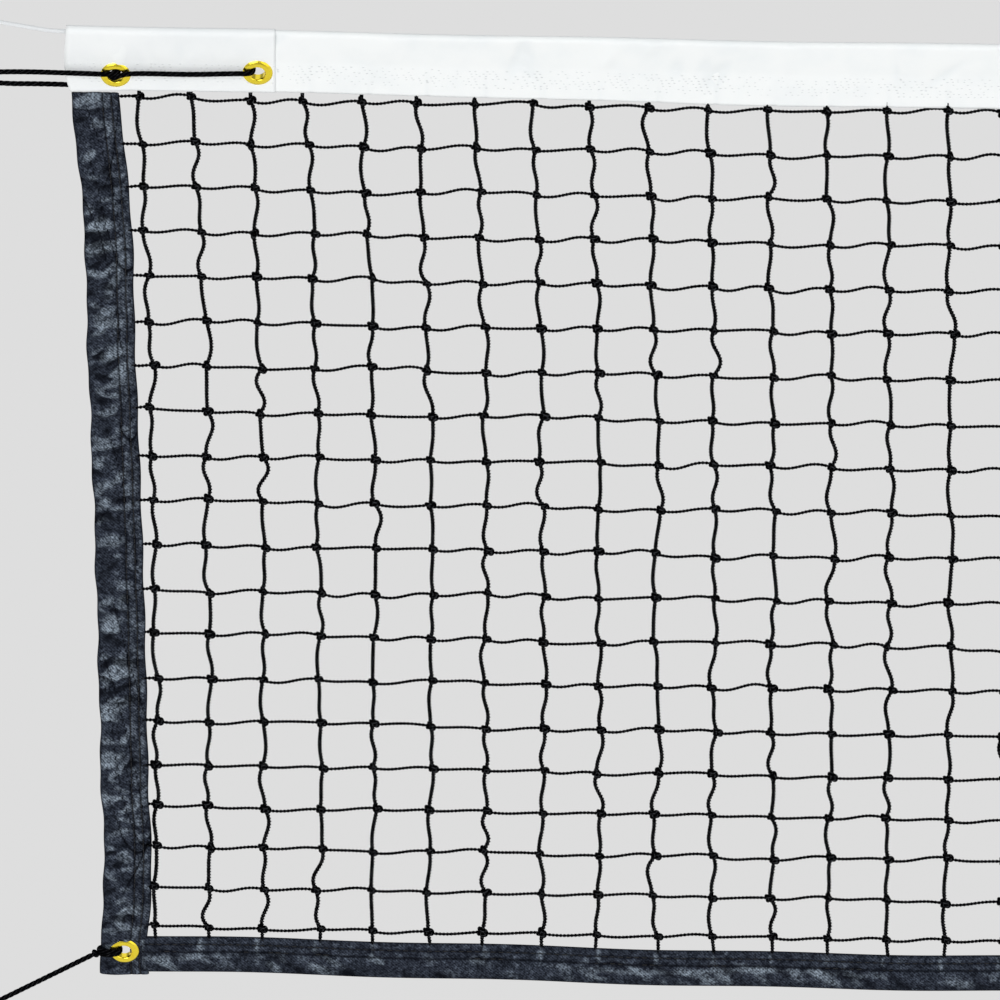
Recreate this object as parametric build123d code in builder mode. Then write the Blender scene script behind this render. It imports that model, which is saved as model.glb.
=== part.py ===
"""A full-length tennis net with its headband cable, hanging as it does between two posts.

Frame, in millimetres: the origin is the centre of the left cable eye, +X runs along the net to
the right eye, +Y points to the back of the net and +Z is up. Everything on the right-hand end is
the mirror image of the left-hand end.
"""
from build123d import *
from math import acos, asin, atan2, cos, hypot, radians, sin
import os

os.makedirs("parts", exist_ok=True)

# --- driving dimensions ---------------------------------------------------------------------
net_length = 12800.0  # headband, end to end: a doubles court's net
net_height = 925.0  # top of the headband to the bottom of the hem

eye_to_band = 115.0  # cable eye to the end of the headband
eye_rise = 21.0  # how far the cable climbs from the headband to its eye
core_diameter = 2.4  # bare wire rope
jacket_diameter = 3.2  # the same rope inside its vinyl
bend_outside_band = 12.0  # the cable leaves the sleeve level, then climbs
bend_radius = 60.0

thimble_bore = 18.0
thimble_width = 6.0
thimble_flange_radius = 12.6
groove_centre_radius = 12.25
leg_gap = 2.5  # between the cable's two legs in the ferrule, centre to centre
ferrule_start, ferrule_end = 34.5, 48.0  # along the cable from the eye
tail_end = 50.0
jacket_start = 52.0

band_height = 61.0
band_thickness = 2.4  # both layers of the folded strip
sleeve_bore = 4.4
sleeve_wall = 1.2
patch_length = 162.0
patch_thickness = 0.8  # each face

tape_width = 37.0
tape_thickness = 3.0
bottom_tape_height = 35.0
swing_gap = 1.5  # headband to the top of the hanging net, room for it to swing
edge_inset_top, edge_inset_bottom, edge_bow = 4.0, 22.0, 5.0  # side tape's outer edge

mesh_cord_diameter = 2.0
mesh_pitch_z = 42.7
first_row_drop = 4.8  # below the headband
row_count = 20
first_column = 53.8  # from the end of the headband
column_count = 287
first_lean, lean_step = 12.0, 0.5  # how far a column's foot stands in, and how fast that fades

throat_radius = 5.8  # eyelets
flange_radius = 11.5
barrel_wall = 0.7
lip_radius, lip_base = 1.5, 0.5
rim_height = 0.35
washer_height = 1.0
bead_height, bead_width = 0.5, 1.5
top_holes = ((37.0, 43.0), (146.0, 38.5))  # along from the band's end, down from its top
bottom_hole = (39.0, 23.4)  # along from the band's end, up from the hem's bottom

cord_diameter = 4.0  # lacing and ties
cord_clearance = 0.05
lacing_reach = 95.0  # headband's end to the knot
lacing_knot_drop = 5.0  # below the outer eyelet
lacing_spread = 55.0  # headband's end to where the two legs turn in to the knot
back_leg_drop = 16.0  # below the outer eyelet, where the back leg passes the band's end
knot_half_length, knot_half_height = 8.5, 7.0
tie_turn_reach = 19.4  # the two turns, from the eyelet's centre to beyond the tape's edge
tie_turn_spacing = 4.2
tie_hitch_out, tie_hitch_drop, tie_hitch_forward = 22.5, 2.5, 2.5
tie_hitch_radius = 4.6
tie_length, tie_angle = 108.0, 32.8  # the tight line, below the horizontal
tie_knot_radius = 5.5

# --- places worked out from them ------------------------------------------------------------
left_end = eye_to_band
right_end = left_end + net_length
middle = Plane.YZ.offset((left_end + right_end) / 2)
cord_radius = cord_diameter / 2
mesh_radius = mesh_cord_diameter / 2
sleeve_radius = sleeve_bore / 2 + sleeve_wall
cable_z = -eye_rise
band_top = cable_z + sleeve_radius
band_bottom = band_top - band_height
swing_z = band_bottom - swing_gap
hem_bottom = band_top - net_height
hem_top = hem_bottom + bottom_tape_height
patched_half = band_thickness / 2 + patch_thickness
tape_half = tape_thickness / 2


def save(name, shape):
    """Label a finished piece and write it."""
    shape.label = name
    export_step(shape, f"parts/{name}.step")


def save_pair(name, shape):
    """Write a left-hand piece and its mirror image at the other end."""
    save(f"{name}_left", shape)
    save(f"{name}_right", mirror(shape, about=middle))


def straight_cord(start, end, radius):
    """One round cord from point to point."""
    run = Vector(*end) - Vector(*start)
    with BuildPart() as cord:
        with BuildSketch(Plane(origin=start, z_dir=run)):
            Circle(radius)
        extrude(amount=run.length)
    return cord.part


def swept_cord(points, radii, radius, closed=False):
    """A cord of straight runs joined by tangent arcs, one radius for each corner."""
    with BuildPart() as cord:
        with BuildLine() as route:
            FilletPolyline(*points, radius=radii, close=closed)
        path = route.wire()
        with BuildSketch(Plane(origin=path @ 0, z_dir=path % 0)):
            Circle(radius)
        sweep(path=path)
    return cord.part, path


# --- cable ----------------------------------------------------------------------------------
bend_x = left_end - bend_outside_band
reach = hypot(bend_x, cable_z)
climb = atan2(cable_z, bend_x) + asin(leg_gap / 2 / reach)  # the ferrule's direction


def at_left_eye(along, across):
    """A point given along and across the ferrule's direction, in X and Z."""
    return (along * cos(climb) - across * sin(climb), along * sin(climb) + across * cos(climb))


def at_right_eye(along, across):
    x, z = at_left_eye(along, across)
    return (left_end + right_end - x, z)


leg_corner = ferrule_start - 4.5
wrap_angle = atan2(leg_gap / 2, leg_corner) + acos(groove_centre_radius / hypot(leg_corner, leg_gap / 2))
touch = (groove_centre_radius * cos(wrap_angle), groove_centre_radius * sin(wrap_angle))
left_bend, right_bend = (bend_x, cable_z), (left_end + right_end - bend_x, cable_z)
leg_radius = 20.0


def eye_wrap(place):
    """The cable's end: its tail, round the thimble, to where the long run takes over."""
    FilletPolyline(
        place(tail_end, leg_gap / 2), place(leg_corner, leg_gap / 2), place(*touch), radius=leg_radius
    )
    ThreePointArc(place(*touch), place(-groove_centre_radius, 0), place(touch[0], -touch[1]))


with BuildPart() as headband_cable:
    with BuildLine(Plane.XZ) as cable_line:
        eye_wrap(at_left_eye)
        FilletPolyline(
            at_left_eye(touch[0], -touch[1]),
            at_left_eye(leg_corner, -leg_gap / 2),
            left_bend,
            right_bend,
            at_right_eye(leg_corner, -leg_gap / 2),
            at_right_eye(touch[0], -touch[1]),
            radius=[leg_radius, bend_radius, bend_radius, leg_radius],
        )
        eye_wrap(at_right_eye)
    cable_path = cable_line.wire()
    with BuildSketch(Plane(origin=cable_path @ 0, z_dir=cable_path % 0)):
        Circle(core_diameter / 2)
    sweep(path=cable_path)
save("headband_cable", headband_cable.part)

with BuildPart() as cable_jacket:
    with BuildLine(Plane.XZ) as jacket_line:
        FilletPolyline(
            at_left_eye(jacket_start, -leg_gap / 2),
            left_bend,
            right_bend,
            at_right_eye(jacket_start, -leg_gap / 2),
            radius=bend_radius,
        )
    jacket_path = jacket_line.wire()
    with BuildSketch(Plane(origin=jacket_path @ 0, z_dir=jacket_path % 0)):
        Circle(jacket_diameter / 2)
        Circle(core_diameter / 2, mode=Mode.SUBTRACT)
    sweep(path=jacket_path)
save("cable_jacket", cable_jacket.part)

ferrule_direction = Vector(cos(climb), 0, sin(climb))
with BuildPart() as cable_ferrule:
    with BuildSketch(
        Plane(origin=ferrule_direction * ferrule_start, x_dir=(0, 1, 0), z_dir=ferrule_direction)
    ):
        SlotOverall(leg_gap + core_diameter + 2.2, core_diameter + 2.2, rotation=90)
        with Locations((0, leg_gap / 2), (0, -leg_gap / 2)):
            Circle(core_diameter / 2, mode=Mode.SUBTRACT)
    extrude(amount=ferrule_end - ferrule_start)
save_pair("cable_ferrule", cable_ferrule.part)

half_width = thimble_width / 2
groove_radius = core_diameter / 2 + 0.1
groove_half = (groove_radius**2 - (thimble_flange_radius - groove_centre_radius) ** 2) ** 0.5
with BuildPart() as cable_thimble:
    with BuildSketch(Plane.XY):
        with BuildLine():
            Polyline(
                (thimble_flange_radius, -groove_half),
                (thimble_flange_radius, -half_width),
                (thimble_bore / 2, -half_width),
                (thimble_bore / 2, half_width),
                (thimble_flange_radius, half_width),
                (thimble_flange_radius, groove_half),
            )
            ThreePointArc(
                (thimble_flange_radius, groove_half),
                (groove_centre_radius - groove_radius, 0),
                (thimble_flange_radius, -groove_half),
            )
        make_face()
    revolve(axis=Axis.Y)
save_pair("cable_thimble", cable_thimble.part)


# --- headband -------------------------------------------------------------------------------
def band_section(layer):
    """The folded strip's outline with this much cloth added outside it, closed over the cable."""
    with Locations((0, cable_z)):
        Circle(sleeve_radius + layer)
        Rectangle(
            band_thickness + 2 * layer, cable_z - band_bottom, align=(Align.CENTER, Align.MAX)
        )


barrel_radius = throat_radius + barrel_wall
all_top_holes = [
    (x, z)
    for along, drop in top_holes
    for x, z in ((left_end + along, band_top - drop), (right_end - along, band_top - drop))
]

with BuildPart() as headband:
    with BuildSketch(Plane.YZ.offset(left_end)):
        band_section(0)
        with Locations((0, cable_z)):
            Circle(sleeve_bore / 2, mode=Mode.SUBTRACT)
    extrude(amount=net_length)
    with BuildSketch(Plane.XZ):
        with Locations(*all_top_holes):
            Circle(barrel_radius)
    extrude(amount=patched_half, both=True, mode=Mode.SUBTRACT)
save("headband", headband.part)

with BuildPart() as headband_end_patch:
    with BuildSketch(Plane.YZ.offset(left_end)) as patch_section:
        band_section(patch_thickness)
    extrude(amount=patch_length)
    with BuildSketch(Plane.YZ.offset(left_end)):
        band_section(0)
    extrude(amount=patch_length, mode=Mode.SUBTRACT)
    with BuildSketch(Plane.XZ):
        with Locations(*all_top_holes[::2]):
            Circle(barrel_radius)
    extrude(amount=patched_half, both=True, mode=Mode.SUBTRACT)
save_pair("headband_end_patch", headband_end_patch.part)


# --- side tapes and bottom tape -------------------------------------------------------------
mesh_drop = swing_z - hem_top


def edge_inset(z):
    """How far the side tape's outer edge stands in from the headband's end at this height."""
    share = min((swing_z - z) / mesh_drop, 1.0)
    chord = edge_inset_top + (edge_inset_bottom - edge_inset_top) * share
    return chord + edge_bow * (1 - (2 * share - 1) ** 2)


def tape_edge(offset):
    """One long edge of the side tape, from its top to the bottom of the hem."""
    top = (left_end + edge_inset(swing_z) + offset, swing_z)
    half_way = (swing_z + hem_top) / 2
    bow = (left_end + edge_inset(half_way) + offset, half_way)
    foot = (left_end + edge_inset(hem_top) + offset, hem_top)
    ThreePointArc(top, bow, foot)
    Line(foot, (foot[0], hem_bottom))
    return top, (foot[0], hem_bottom)


bottom_hole_x = left_end + bottom_hole[0]
bottom_hole_z = hem_bottom + bottom_hole[1]
with BuildPart() as side_tape:
    with BuildSketch(Plane.XZ):
        with BuildLine():
            outer_top, outer_foot = tape_edge(0)
            inner_top, inner_foot = tape_edge(tape_width)
            Line(outer_top, inner_top)
            Line(outer_foot, inner_foot)
        make_face()
        with Locations((bottom_hole_x, bottom_hole_z)):
            Circle(barrel_radius, mode=Mode.SUBTRACT)
    extrude(amount=tape_half, both=True)
save_pair("side_tape", side_tape.part)

bottom_tape_start = left_end + edge_inset_bottom + tape_width
with BuildPart() as bottom_tape:
    with BuildSketch(Plane.YZ.offset(bottom_tape_start)):
        with Locations((0, hem_bottom)):
            Rectangle(tape_thickness, bottom_tape_height, align=(Align.CENTER, Align.MIN))
    extrude(amount=left_end + right_end - 2 * bottom_tape_start)
save("bottom_tape", bottom_tape.part)

# --- netting: level cords in front, upright cords just behind them -----------------------------
layer_gap = 0.05
rows_y, columns_y = -mesh_radius, mesh_radius + layer_gap
tape_gap = 0.3

level_cords = []
for row in range(row_count):
    z = band_bottom - first_row_drop - row * mesh_pitch_z
    start = left_end + edge_inset(z) + tape_width + tape_gap
    level_cords.append(
        straight_cord((start, rows_y, z), (left_end + right_end - start, rows_y, z), mesh_radius)
    )
save("netting_level_cords", Compound(children=level_cords))

column_pitch = (net_length - 2 * first_column) / (column_count - 1)
upright_cords = []
for column in range(column_count):
    x = left_end + first_column + column * column_pitch
    from_left, from_right = column, column_count - 1 - column
    lean = max(first_lean - lean_step * from_left, 0) - max(first_lean - lean_step * from_right, 0)
    upright_cords.append(
        straight_cord(
            (x, columns_y, swing_z - layer_gap),
            (x + lean, columns_y, hem_top + layer_gap),
            mesh_radius,
        )
    )
save("netting_upright_cords", Compound(children=upright_cords))


# --- eyelets and their washers --------------------------------------------------------------
def eyelet(x, z, cloth_half):
    """A rolled brass eyelet through cloth this thick, flange at the front."""
    lip_y = -(cloth_half + lip_base)
    back_y = cloth_half + washer_height
    with BuildPart() as piece:
        with BuildSketch(Plane.XY.offset(z)):
            with BuildLine(Location((x, 0))):
                throat = (throat_radius, lip_y)
                crown = (throat_radius + lip_radius, lip_y - lip_radius)
                ThreePointArc(
                    throat,
                    (
                        throat_radius + lip_radius * (1 - cos(radians(45))),
                        lip_y - lip_radius * sin(radians(45)),
                    ),
                    crown,
                )
                TangentArc(crown, (flange_radius, -(cloth_half + rim_height)), tangent=(1, 0))
                Polyline(
                    (flange_radius, -(cloth_half + rim_height)),
                    (flange_radius, -cloth_half),
                    (barrel_radius, -cloth_half),
                    (barrel_radius, back_y),
                    (throat_radius + bead_width, back_y),
                    (throat_radius + bead_width, back_y + bead_height / 2),
                    (throat_radius + bead_width / 2, back_y + bead_height),
                    (throat_radius, back_y + bead_height / 2),
                    throat,
                )
            make_face()
        revolve(axis=Axis((x, 0, z), (0, 1, 0)))
    return piece.part


def washer(x, z, cloth_half):
    """The ring that an eyelet is rolled over at the back."""
    with BuildPart() as piece:
        with BuildSketch(Plane.XZ.offset(-cloth_half)):
            with Locations((x, z)):
                Circle(flange_radius)
                Circle(barrel_radius, mode=Mode.SUBTRACT)
        extrude(amount=-washer_height)
        chamfer(piece.edges().filter_by(GeomType.CIRCLE).sort_by(Axis.Y)[-1], washer_height / 3)
    return piece.part


eyelet_places = {
    "top_outer": (*all_top_holes[0], patched_half),
    "top_inner": (*all_top_holes[2], patched_half),
    "bottom": (bottom_hole_x, bottom_hole_z, tape_half),
}
for name, place in eyelet_places.items():
    save_pair(f"eyelet_{name}", eyelet(*place))
    save_pair(f"washer_{name}", washer(*place))

# --- lacing cord: front leg, a tuck through the outer eyelet, the inner eyelet, back leg -------
pass_offset = throat_radius - cord_radius - cord_clearance
# the two legs cross inside the outer eyelet, one above the other
cross_z = 2.2
cross_x = (pass_offset**2 - cross_z**2) ** 0.5
lip_turn = lip_radius + cord_radius + cord_clearance
front_y = -(patched_half + lip_base + lip_turn)
tuck_y = 3.0
tuck_turn = pass_offset - cord_clearance
back_y = patched_half + washer_height + bead_height + cord_radius + 0.8
outer_x, outer_z = all_top_holes[0]
inner_x, inner_z = all_top_holes[2]
knot_x = left_end - lacing_reach
knot_z = outer_z - lacing_knot_drop
spread_x = left_end - lacing_spread
lacing_points = [
    (knot_x, front_y / 2, knot_z + 3),
    (spread_x, -5.0, outer_z + 2.4),
    (outer_x + cross_x, front_y, outer_z + cross_z),
    (outer_x + cross_x, tuck_y, outer_z + cross_z),
    (outer_x - cross_x, tuck_y, outer_z - cross_z),
    (outer_x - cross_x, front_y, outer_z - cross_z),
    (inner_x - pass_offset, front_y, inner_z),
    (inner_x - pass_offset, back_y, inner_z),
    (left_end - 6, back_y - 0.6, outer_z - back_leg_drop),
    (spread_x, 3.5, outer_z - back_leg_drop + 1.1),
    (knot_x, 1.0, knot_z - 3),
]
lacing_radii = [60.0, lip_turn, tuck_turn, tuck_turn, lip_turn, lip_turn, lip_turn, 150.0, 60.0]
lacing_cord, lacing_path = swept_cord(lacing_points, lacing_radii, cord_radius)
save_pair("lacing_cord", lacing_cord)


def knot(x, y, z, half_length, half_height):
    """A closed knot, longer than it is high."""
    with BuildPart() as piece:
        with BuildSketch(Plane(origin=(x, y, z), x_dir=(1, 0, 0), z_dir=(0, -1, 0))):
            Ellipse(half_length, half_height)
            with Locations((0, -half_height)):
                Rectangle(4 * half_length, 2 * half_height, mode=Mode.SUBTRACT)
        revolve(axis=Axis((x, y, z), (1, 0, 0)))
    return piece.part


save_pair("lacing_knot", knot(knot_x - 4, front_y / 4, knot_z, knot_half_length, knot_half_height))

# --- bottom tie: two turns through the eyelet, a hitch at the tape's edge and a tight line -----
turn_right, turn_left = bottom_hole_x - 3.0, bottom_hole_x - tie_turn_reach
turn_front, turn_back = -5.9, 5.4
turn_radii = [3.9, 4.5, 4.5, 3.0]
turns = []
for z in (bottom_hole_z - tie_turn_spacing / 2, bottom_hole_z + tie_turn_spacing / 2):
    turn_points = [
        (turn_right, turn_front, z),
        (turn_left, turn_front, z),
        (turn_left, turn_back, z),
        (turn_right, turn_back, z),
    ]
    turn, turn_path = swept_cord(turn_points, turn_radii, cord_radius, closed=True)
    turns.append(turn)
save_pair("bottom_tie_turns", Compound(children=turns))

hitch = Vector(bottom_hole_x - tie_hitch_out, -tie_hitch_forward, bottom_hole_z - tie_hitch_drop)
save_pair("bottom_tie_hitch", knot(hitch.X, hitch.Y, hitch.Z, tie_hitch_radius, tie_hitch_radius))

line_direction = Vector(-cos(radians(tie_angle)), 0, -sin(radians(tie_angle)))
line_start = hitch + line_direction * (tie_hitch_radius + 0.3)
line_end = hitch + line_direction * tie_length
save_pair("bottom_tie_cord", straight_cord(tuple(line_start), tuple(line_end), cord_radius))
save_pair("bottom_tie_knot", knot(*line_end, tie_knot_radius, tie_knot_radius))

# --- what the record needs ------------------------------------------------------------------
print("lacing radii", [round(r, 2) for r in lacing_radii])
print("lacing length", round(lacing_path.length, 1), "volume", round(lacing_cord.volume, 1))
print("section x length", round(lacing_path.length * 3.14159265 * cord_radius**2, 1))
print("turn length", round(turn_path.length, 1), "volume", round(turns[0].volume, 1))
print("section x length", round(turn_path.length * 3.14159265 * cord_radius**2, 1))
print("swing line z", swing_z, "hem bottom", hem_bottom, "band top", band_top)
print("hitch", hitch, "line end", line_end, "right mirror", left_end + right_end)
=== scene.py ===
"""Tennis net: the visible pieces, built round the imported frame.

Metres, +X along the net, +Y to its back, +Z up. The right-hand end is the left one's mirror image.
"""
import math
import bpy
import numpy as np
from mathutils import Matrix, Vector


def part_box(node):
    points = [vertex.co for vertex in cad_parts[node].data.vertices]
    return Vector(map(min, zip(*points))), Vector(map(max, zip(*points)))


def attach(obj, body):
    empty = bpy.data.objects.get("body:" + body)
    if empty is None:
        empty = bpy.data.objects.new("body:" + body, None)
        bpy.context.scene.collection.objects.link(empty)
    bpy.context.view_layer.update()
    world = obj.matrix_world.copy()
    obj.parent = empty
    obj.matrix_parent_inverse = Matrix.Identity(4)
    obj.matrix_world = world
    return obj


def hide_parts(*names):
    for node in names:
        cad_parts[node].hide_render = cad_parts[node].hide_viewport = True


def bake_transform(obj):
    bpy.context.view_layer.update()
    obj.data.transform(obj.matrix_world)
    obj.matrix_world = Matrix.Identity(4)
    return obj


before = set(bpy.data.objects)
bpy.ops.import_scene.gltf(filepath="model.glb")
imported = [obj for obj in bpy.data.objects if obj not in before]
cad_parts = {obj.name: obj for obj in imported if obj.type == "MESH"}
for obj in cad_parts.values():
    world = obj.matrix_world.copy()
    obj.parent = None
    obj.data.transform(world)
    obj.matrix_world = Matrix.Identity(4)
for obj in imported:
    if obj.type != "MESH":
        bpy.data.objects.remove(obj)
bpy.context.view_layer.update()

MM = 0.001
rng = np.random.default_rng(20417)

# --- places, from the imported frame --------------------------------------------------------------
band_low, band_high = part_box("headband")
LEFT, RIGHT = band_low.x, band_high.x
BAND_TOP, BAND_BOTTOM = band_high.z, band_low.z
SLEEVE_RADIUS = band_high.y
CABLE_Z = BAND_TOP - SLEEVE_RADIUS
MIRROR = LEFT + RIGHT
PATCH_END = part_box("headband_end_patch_left")[1].x
hem_low, hem_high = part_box("bottom_tape")
HEM_TOP, HEM_BOTTOM = hem_high.z, hem_low.z
HEM_HEIGHT = HEM_TOP - HEM_BOTTOM
HEM_START = hem_low.x
SWING_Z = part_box("side_tape_left")[1].z  # the side tapes' top
TAPE_WIDTH = 37.0 * MM


def centre(node):
    low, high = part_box(node)
    return (low + high) / 2


OUTER_HOLE = centre("eyelet_top_outer_left")
INNER_HOLE = centre("eyelet_top_inner_left")
FOOT_HOLE = centre("eyelet_bottom_left")
HOLE_RADIUS = 6.2 * MM
TOP_HOLES = [OUTER_HOLE, INNER_HOLE, centre("eyelet_top_outer_right"), centre("eyelet_top_inner_right")]


def edge_inset(z):
    """How far the side tape's outer edge stands in from the headband's end, as in the CAD."""
    share = np.clip((SWING_Z - z) / (SWING_Z - HEM_TOP), 0, 1)
    return (4.0 + 18.0 * share + 5.0 * (1 - (2 * share - 1) ** 2)) * MM


def hump(x, middle, reach):
    """1 at the middle, falling smoothly to nothing over about twice the reach."""
    return np.exp(-(((x - middle) / reach) ** 2))


def edge_sway(z):
    """The slow in-and-out of the side tape's two edges."""
    return (2.4 * hump(z, -0.22, 0.07) + 2.0 * hump(z, -0.83, 0.05) - 2.0 * hump(z, SWING_Z, 0.035)
            - 2.0 * hump(z, -0.92, 0.03)) * MM


def from_end(x):
    """How far a place along the net is from the nearer end."""
    return np.minimum(x - LEFT, RIGHT - x)


def hem_sway(x):
    """The bottom tape's slow rise and fall along the net."""
    return (2.4 * np.sin(5.7 * (0.315 - from_end(x))) * np.exp(-from_end(x) / 2.5)
            + 0.8 * np.sin(31 * x) + 0.5 * np.sin(6.1 * x)) * MM


def band_lift(x):
    """How far the taut lacing draws up the headband's lower edge, near each end."""
    near = from_end(x)
    return 2.7 * MM * np.clip((near - 0.012) / 0.035, 0, 1) * np.clip((0.50 - near) / 0.22, 0, 1)


def band_dip(x):
    """How far the whole headband hangs below its straight line, 0.61 m from each end."""
    return 1.8 * MM * hump(from_end(x), 0.61, 0.14)


def band_wander(x):
    """The headband's slight unevenness along the net."""
    return 0.0007 * np.sin(x * 9.0 + 0.4) + 0.0004 * np.sin(x * 27.0)


# --- camera -------------------------------------------------------------------------------------
# a very long lens far away, because the view has almost no perspective
AZIMUTH, ELEVATION = math.radians(1.7), math.radians(37.9)
LENS, SENSOR, VIEW_WIDTH = 1600.0, 36.0, 0.7725
aim = Vector((0.4469, 0.0, -0.4687))
back = Vector((
    math.sin(AZIMUTH) * math.cos(ELEVATION),
    -math.cos(AZIMUTH) * math.cos(ELEVATION),
    math.sin(ELEVATION),
))
camera_data = bpy.data.cameras.new("camera")
camera_data.lens, camera_data.sensor_width = LENS, SENSOR
camera_data.clip_start, camera_data.clip_end = 0.1, 2000.0
camera = bpy.data.objects.new("camera", camera_data)
bpy.context.collection.objects.link(camera)
camera.location = aim + back * (VIEW_WIDTH * LENS / SENSOR)
camera.rotation_mode = "QUATERNION"
camera.rotation_quaternion = (-back).to_track_quat("-Z", "Y")
bpy.context.scene.camera = camera


# --- materials ----------------------------------------------------------------------------------
class Nodes:
    """A material's node tree, with short ways to add and join nodes."""

    def __init__(self, name, colour, roughness, **values):
        self.material = bpy.data.materials.new(name)
        self.material.use_nodes = True
        self.tree = self.material.node_tree
        self.shader = self.tree.nodes["Principled BSDF"]
        self.shader.inputs["Base Color"].default_value = (*colour, 1)
        self.shader.inputs["Roughness"].default_value = roughness
        for key, value in values.items():
            self.shader.inputs[key.replace("_", " ")].default_value = value
        self.place = self.add("ShaderNodeTexCoord").outputs["Object"]

    def add(self, kind, **inputs):
        node = self.tree.nodes.new(kind)
        for key, value in inputs.items():
            self.put(node.inputs[key], value)
        return node

    def put(self, socket, value):
        if isinstance(value, bpy.types.NodeSocket):
            self.tree.links.new(value, socket)
        else:
            socket.default_value = value

    def stretched(self, scale):
        """The object's coordinates, scaled along each axis."""
        node = self.add("ShaderNodeMapping", Vector=self.place)
        node.inputs["Scale"].default_value = scale
        return node.outputs["Vector"]

    def noise(self, scale, detail, roughness=0.55):
        node = self.add("ShaderNodeTexNoise", Vector=self.place, Scale=scale, Detail=detail,
                        Roughness=roughness)
        return node.outputs["Fac"]

    def bands(self, scale, axis, vector=None, distortion=0.0):
        node = self.add("ShaderNodeTexWave", Vector=vector or self.place, Scale=scale,
                        Distortion=distortion)
        node.bands_direction = axis
        return node.outputs["Fac"]

    def math(self, operation, a, b=0.0):
        node = self.tree.nodes.new("ShaderNodeMath")
        node.operation = operation
        self.put(node.inputs[0], a)
        self.put(node.inputs[1], b)
        return node.outputs[0]

    def ramp(self, value, low, high, start=0.0, end=1.0):
        """A value taken from low..high to start..end."""
        node = self.add("ShaderNodeMapRange", Value=value)
        for key, number in (("From Min", low), ("From Max", high), ("To Min", start), ("To Max", end)):
            node.inputs[key].default_value = number
        return node.outputs["Result"]

    def mix(self, share, a, b):
        node = self.tree.nodes.new("ShaderNodeMix")
        node.data_type = "RGBA"
        self.put(node.inputs["Factor"], share)
        for socket, colour in ((node.inputs[6], a), (node.inputs[7], b)):
            self.put(socket, (*colour, 1) if isinstance(colour, tuple) else colour)
        return node.outputs[2]

    def painted_light(self, what):
        """A value that the mesh holds at its points, which sets how much painted light or shade goes
        there.
        """
        node = self.tree.nodes.new("ShaderNodeAttribute")
        node.attribute_name = what
        return node.outputs["Fac"]

    def colour(self, value):
        self.put(self.shader.inputs["Base Color"], value)

    def rough(self, value):
        self.put(self.shader.inputs["Roughness"], value)

    def bump(self, *layers):
        """Layers of (height, strength, depth in metres), one over the other."""
        normal = None
        for height, strength, depth in layers:
            node = self.add("ShaderNodeBump", Height=height, Strength=strength, Distance=depth)
            if normal is not None:
                self.put(node.inputs["Normal"], normal)
            normal = node.outputs["Normal"]
        self.put(self.shader.inputs["Normal"], normal)


FIBRE_SHINE, VINYL_SHINE = 0.012, 0.35


def vinyl(name, light, dark, roughness):
    """Coated fabric, cloudy, and darker in its folds with painted shade."""
    m = Nodes(name, light, roughness)
    m.shader.inputs["Specular IOR Level"].default_value = VINYL_SHINE
    cloudy = m.ramp(m.noise(26.0, 3.0), 0.45, 0.75, 0.0, 0.35)
    # painted shade: the dark colour goes where the mesh's painted share is high, and into random clouds
    m.colour(m.mix(m.math("MAXIMUM", cloudy, m.painted_light("wear")), light, dark))
    m.rough(m.ramp(m.noise(160.0, 2.0), 0.3, 0.7, roughness - 0.06, roughness + 0.1))
    m.bump((m.noise(900.0, 2.0), 0.25, 0.0002), (m.bands(420.0, "X"), 0.06, 0.0001),
           (m.bands(420.0, "Z"), 0.06, 0.0001))
    return m.material


def cloth(name):
    """Dark twill with painted highlights where it stands proud, and painted shade in its creases."""
    m = Nodes(name, (0.010, 0.012, 0.019), 0.65)
    m.shader.inputs["Specular IOR Level"].default_value = FIBRE_SHINE
    uneven = m.noise(110.0, 4.0, 0.7)
    grain = m.ramp(m.noise(420.0, 3.0, 0.75), 0.40, 0.60)
    twill = m.ramp(m.bands(225.0, "DIAGONAL", m.stretched((1, 0.02, 1)), 2.2), 0.1, 0.9)
    weave = m.math("MULTIPLY", m.ramp(twill, 0, 1, 0.52, 1.0), m.ramp(grain, 0, 1, 0.15, 1.0))
    edged = m.math("ADD", m.painted_light("wear"), m.ramp(uneven, 0.3, 0.7, -0.45, 0.35))
    # painted highlight: how much of the pale blue-grey below goes on, following the weave
    painted_highlight = m.math("MULTIPLY", m.ramp(edged, 0.10, 1.0), weave)
    ground = m.mix(m.math("MULTIPLY", weave, m.ramp(uneven, 0.35, 0.65, 0.35, 1.0)),
                   (0.0026, 0.0034, 0.0066), (0.088, 0.106, 0.146))
    lit = m.mix(painted_highlight, ground, (0.36, 0.43, 0.51))
    # painted shade: near black wherever the mesh's shade value is high
    m.colour(m.mix(m.painted_light("shade"), lit, (0.0030, 0.0036, 0.0060)))
    m.rough(m.ramp(uneven, 0.3, 0.7, 0.5, 0.7))
    m.bump((twill, 0.35, 0.0002), (m.noise(300.0, 3.0), 0.35, 0.0004))
    return m.material


def twine(name, colour, highlight_colour, strands, rise, depth):
    """Twisted or braided cord: its lay runs along the sweep's own map, `rise` crests to a pitch."""
    m = Nodes(name, colour, 0.62)
    m.shader.inputs["Specular IOR Level"].default_value = FIBRE_SHINE
    lay = m.add("ShaderNodeUVMap")
    lay.uv_map = "lay"
    split = m.add("ShaderNodeSeparateXYZ", Vector=lay.outputs["UV"])
    round_it = m.math("MULTIPLY", split.outputs["X"], 2 * math.pi * strands)
    along = m.math("MULTIPLY", split.outputs["Y"], 2 * math.pi * rise)
    strand = m.math("COSINE", m.math("ADD", round_it, along))
    # painted highlight: a paler colour along the crests of the strands
    strand_highlight = m.math("MULTIPLY", m.ramp(strand, 0.5, 1.0), m.ramp(m.noise(450.0, 2.0), 0.35, 0.65))
    m.colour(m.mix(strand_highlight, colour, highlight_colour))
    m.bump((strand, 0.7, depth), (m.noise(2600.0, 2.0), 0.3, 0.0001))
    return m.material


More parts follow.
